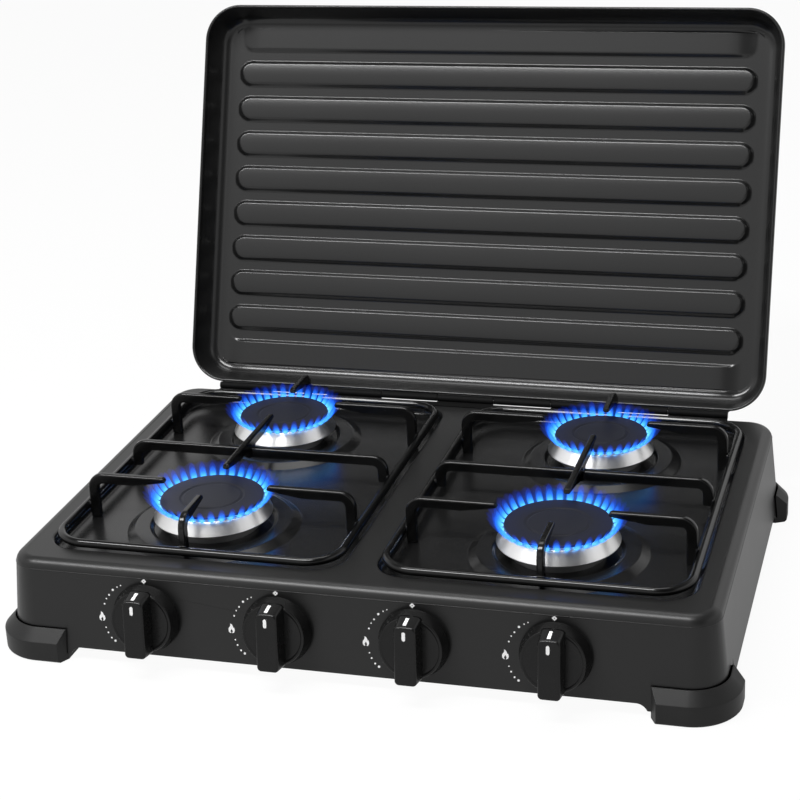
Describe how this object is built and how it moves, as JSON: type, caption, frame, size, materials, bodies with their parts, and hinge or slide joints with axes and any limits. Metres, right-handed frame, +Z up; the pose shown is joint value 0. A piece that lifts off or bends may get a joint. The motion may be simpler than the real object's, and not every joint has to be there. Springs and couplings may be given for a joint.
{
  "type": "gas stove",
  "caption": "Tabletop gas stove with burners under wire pan supports, push-and-turn knobs, corner feet, a rear gas inlet and a ribbed lid on a long rear hinge.",
  "frame": {"origin": "on the table plane, midway across the body's width and depth", "axes": "+X to the right along the front panel, the front panel faces -Y, +Z up"},
  "size_m": [0.537, 0.5064, 0.3833],
  "materials": {
    "body_paint": "satin black enamel paint on pressed steel",
    "lid_paint": "satin charcoal enamel paint on pressed steel",
    "hinge_paint": "satin black paint on rolled steel strip",
    "foot_plastic": "satin black moulded plastic",
    "support_enamel": "gloss black enamel on steel rod and bar",
    "head_metal": "turned, finely brushed",
    "cap_enamel": "matt black enamel",
    "cup_metal": "cast, as made",
    "knob_plastic": "satin black moulded plastic",
    "tap_brass": "machined",
    "plated_steel": "zinc plated",
    "spring_steel": "drawn wire",
    "feed_aluminium": "drawn tube"
  },
  "bodies": {
    "stove": {"body_shell": "body_paint", "hinge_leaf_body": "hinge_paint", "foot_front_left": "foot_plastic", "foot_rear_left": "foot_plastic", "foot_rear_right": "foot_plastic", "foot_front_right": "foot_plastic", "grate_left": "support_enamel", "grate_right": "support_enamel", "burner_head_front_left": "head_metal", "burner_head_rear_left": "head_metal", "burner_head_rear_right": "head_metal", "burner_head_front_right": "head_metal", "burner_cap_front_left": "cap_enamel", "burner_cap_rear_left": "cap_enamel", "burner_cap_rear_right": "cap_enamel", "burner_cap_front_right": "cap_enamel", "burner_cup_front_left": "cup_metal", "burner_cup_rear_left": "cup_metal", "burner_cup_rear_right": "cup_metal", "burner_cup_front_right": "cup_metal", "tap_1": "tap_brass", "tap_2": "tap_brass", "tap_3": "tap_brass", "tap_4": "tap_brass", "injectors": "tap_brass", "gas_inlet": "tap_brass", "gas_rail": "plated_steel", "rail_brackets": "plated_steel", "foot_screws": "plated_steel", "hinge_pin": "plated_steel", "injector_holder_front_left": "plated_steel", "injector_holder_rear_left": "plated_steel", "injector_holder_rear_right": "plated_steel", "injector_holder_front_right": "plated_steel", "return_spring_1": "spring_steel", "return_spring_2": "spring_steel", "return_spring_3": "spring_steel", "return_spring_4": "spring_steel", "feed_tube_front_left": "feed_aluminium", "feed_tube_rear_left": "feed_aluminium", "feed_tube_rear_right": "feed_aluminium", "feed_tube_front_right": "feed_aluminium"},
    "push_1": {"thrust_washer_1": "plated_steel"},
    "control_1": {"spindle_1": "tap_brass", "knob_1": "knob_plastic"},
    "push_2": {"thrust_washer_2": "plated_steel"},
    "control_2": {"spindle_2": "tap_brass", "knob_2": "knob_plastic"},
    "push_3": {"thrust_washer_3": "plated_steel"},
    "control_3": {"spindle_3": "tap_brass", "knob_3": "knob_plastic"},
    "push_4": {"thrust_washer_4": "plated_steel"},
    "control_4": {"spindle_4": "tap_brass", "knob_4": "knob_plastic"},
    "lid": {"lid": "lid_paint", "hinge_leaf_lid": "hinge_paint"}
  },
  "joints": [
    {"name": "lid_hinge", "type": "hinge", "parent": "stove", "child": "lid", "pos_m": [0, 0.169, 0.0777], "axis": [1, 0, 0], "range_deg": [0, 110]},
    {"name": "knob_1_push", "type": "slide", "parent": "stove", "child": "push_1", "axis": [0, 0.9954, -0.0958], "range_m": [0, 0.0025], "stiffness_N_per_m": 2000, "springref_m": -0.003, "deforming": ["return_spring_1"]},
    {"name": "knob_1_turn", "type": "hinge", "parent": "push_1", "child": "control_1", "pos_m": [-0.147, -0.17466, 0.0395], "axis": [0, -0.9954, 0.0958], "range_deg": [0, 135]},
    {"name": "knob_2_push", "type": "slide", "parent": "stove", "child": "push_2", "axis": [0, 0.9954, -0.0958], "range_m": [0, 0.0025], "stiffness_N_per_m": 2000, "springref_m": -0.003, "deforming": ["return_spring_2"]},
    {"name": "knob_2_turn", "type": "hinge", "parent": "push_2", "child": "control_2", "pos_m": [-0.049, -0.17466, 0.0395], "axis": [0, -0.9954, 0.0958], "range_deg": [0, 135]},
    {"name": "knob_3_push", "type": "slide", "parent": "stove", "child": "push_3", "axis": [0, 0.9954, -0.0958], "range_m": [0, 0.0025], "stiffness_N_per_m": 2000, "springref_m": -0.003, "deforming": ["return_spring_3"]},
    {"name": "knob_3_turn", "type": "hinge", "parent": "push_3", "child": "control_3", "pos_m": [0.049, -0.17466, 0.0395], "axis": [0, -0.9954, 0.0958], "range_deg": [0, 135]},
    {"name": "knob_4_push", "type": "slide", "parent": "stove", "child": "push_4", "axis": [0, 0.9954, -0.0958], "range_m": [0, 0.0025], "stiffness_N_per_m": 2000, "springref_m": -0.003, "deforming": ["return_spring_4"]},
    {"name": "knob_4_turn", "type": "hinge", "parent": "push_4", "child": "control_4", "pos_m": [0.147, -0.17466, 0.0395], "axis": [0, -0.9954, 0.0958], "range_deg": [0, 135]}
  ]
}
